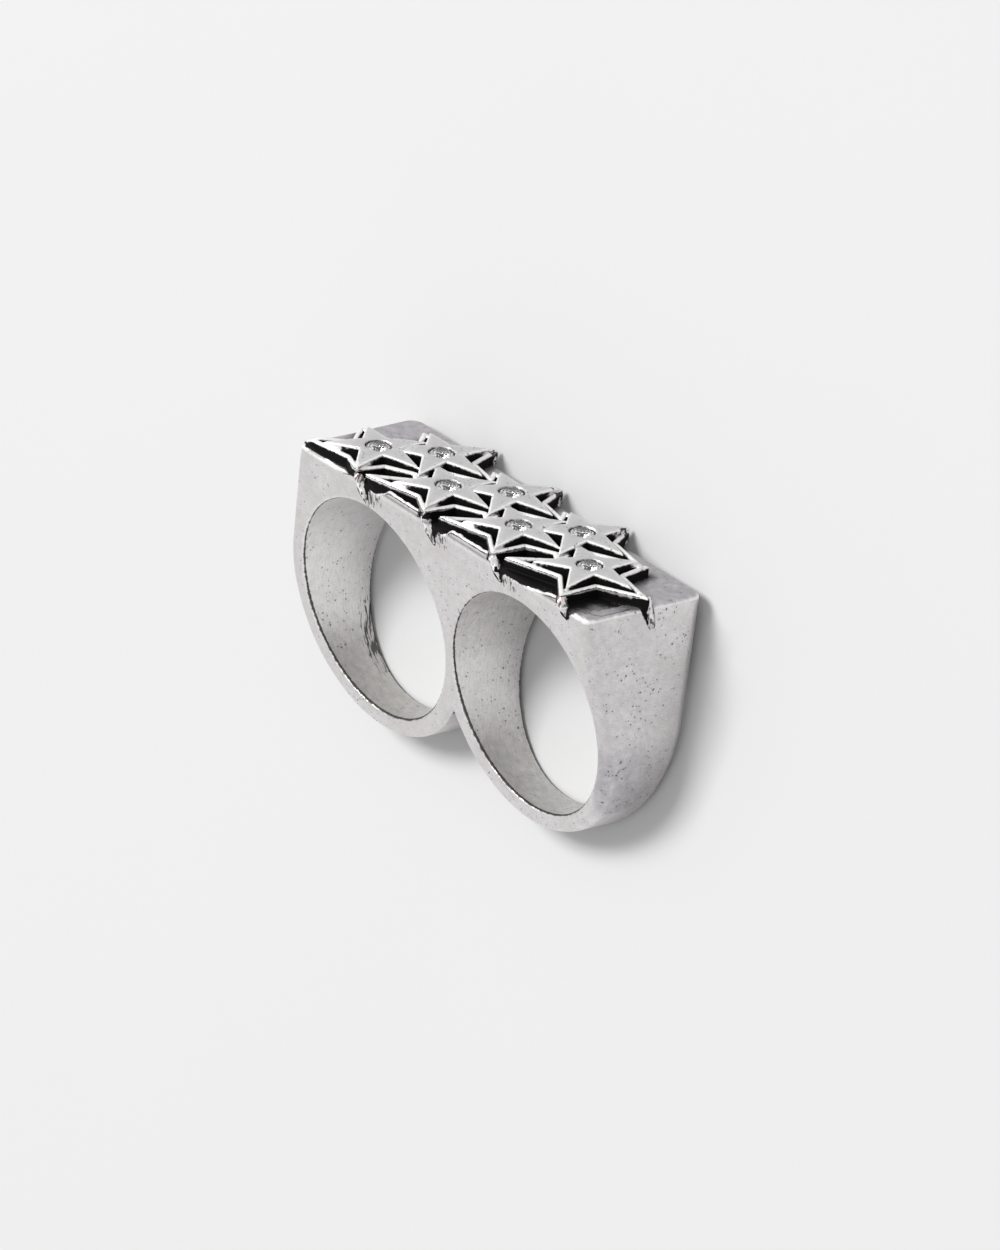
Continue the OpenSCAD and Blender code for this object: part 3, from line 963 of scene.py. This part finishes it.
def clear_stone():
    """Colourless cut stone."""
    paint = Paint("clear_stone")
    cloud = paint.noise(1.2, 2)
    colour = paint.blend(cloud.rise(0.4, 0.7), (0.93, 0.95, 0.97, 1), (0.97, 0.96, 0.93, 1))
    return paint.finish(colour, 0.02 + 0.03 * cloud, Transmission_Weight=1, IOR=2.1)


def pale_floor():
    """Plain pale surface under the ring."""
    paint = Paint("pale_floor")
    cloud = paint.noise(0.02, 2)
    colour = paint.blend(cloud, (0.53, 0.53, 0.53, 1), (0.54, 0.54, 0.54, 1))
    return paint.finish(colour, 0.9, Specular_IOR_Level=0.1)


# ---------------------------------------------------------------- pieces

silver_ring = make_metal()
silver_ring.data.materials.append(old_silver())
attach(silver_ring, "root")
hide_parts("ring_body")

stone_glass = clear_stone()
for i in range(7):
    stone = make_stone(i)
    stone.data.materials.append(stone_glass)
    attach(stone, "root")
    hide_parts(f"stone_{i + 1}")

# ---------------------------------------------------------------- floor, light and camera

floor_reach, sky_strength, sky_seen = 3, 0.95, (0.87, 0.87, 0.87, 1)
floor_mesh = bpy.data.meshes.new("floor")
floor_mesh.from_pydata([(floor_reach * a, floor_reach * b, 0)
                        for a, b in ((-1, -1), (1, -1), (1, 1), (-1, 1))], [], [(0, 1, 2, 3)])
floor = new_object("floor", floor_mesh)
floor.data.materials.append(pale_floor())

world = bpy.data.worlds.new("studio")
world.use_nodes = True
sky = world.node_tree
sky.nodes.clear()
around_light = sky.nodes.new("ShaderNodeBackground")
around_light.inputs["Strength"].default_value = sky_strength
seen_light = sky.nodes.new("ShaderNodeBackground")
seen_light.inputs["Color"].default_value = sky_seen
ray = sky.nodes.new("ShaderNodeLightPath")
both = sky.nodes.new("ShaderNodeMixShader")
sky_end = sky.nodes.new("ShaderNodeOutputWorld")
sky.links.new(ray.outputs["Is Camera Ray"], both.inputs[0])
sky.links.new(around_light.outputs[0], both.inputs[1])
sky.links.new(seen_light.outputs[0], both.inputs[2])
sky.links.new(both.outputs[0], sky_end.inputs["Surface"])
bpy.context.scene.world = world

# The photo's view of the worn ring: its angles in degrees, and its distance in millimetres.
azimuth, elevation, roll = (math.radians(a) for a in (49.80, 24.44, 5.96))
view_distance, view_lens = 1473.7, 517.4
forward = -np.array([math.sin(azimuth) * math.cos(elevation),
                     -math.cos(azimuth) * math.cos(elevation), math.sin(elevation)])
right = np.cross(forward, [0, 0, 1])
right /= np.linalg.norm(right)
up = np.cross(right, forward)
right, up = (right * math.cos(roll) + up * math.sin(roll),
             up * math.cos(roll) - right * math.sin(roll))
ring_middle_z, picture_right, picture_up = -12.024, 1.157, 2.027
aim = np.array([0, 0, ring_middle_z]) + picture_right * right + picture_up * up


def stand_at(thing, point, x_way, y_way, z_way):
    """Place a lamp or the camera by its three axes, all as on the worn ring."""
    rotation = Matrix(lay_down([x_way, y_way, z_way], move=False).tolist()).transposed()
    place = Vector(lay_down([point])[0].tolist())
    thing.matrix_world = Matrix.Translation(place) @ rotation.to_4x4()
    bpy.context.scene.collection.objects.link(thing)


camera = bpy.data.objects.new("camera", bpy.data.cameras.new("camera"))
camera.data.sensor_width = 36
camera.data.lens = view_lens
camera.data.clip_end = 20
stand_at(camera, aim - view_distance * forward, right, up, -forward)
bpy.context.scene.camera = camera


def soft_light(name, way, distance, size, power):
    """A square soft light that looks at the ring, in metres and watts.

    The way to it is given as right, up and towards the lens.
    """
    toward = way[0] * right + way[1] * up - way[2] * forward
    toward /= np.linalg.norm(toward)
    side = np.cross([0.1, 0.2, 1], toward)
    side /= np.linalg.norm(side)
    data = bpy.data.lights.new(name, "AREA")
    data.size = size
    data.energy = power
    lamp = bpy.data.objects.new(name, data)
    stand_at(lamp, aim + 1000 * distance * toward, side, np.cross(toward, side), toward)


soft_light("window", way=(-0.74, 0.47, 0.47), distance=2.2, size=0.9, power=50)

scene = bpy.context.scene
scene.view_settings.view_transform = "Standard"
scene.view_settings.look = "None"
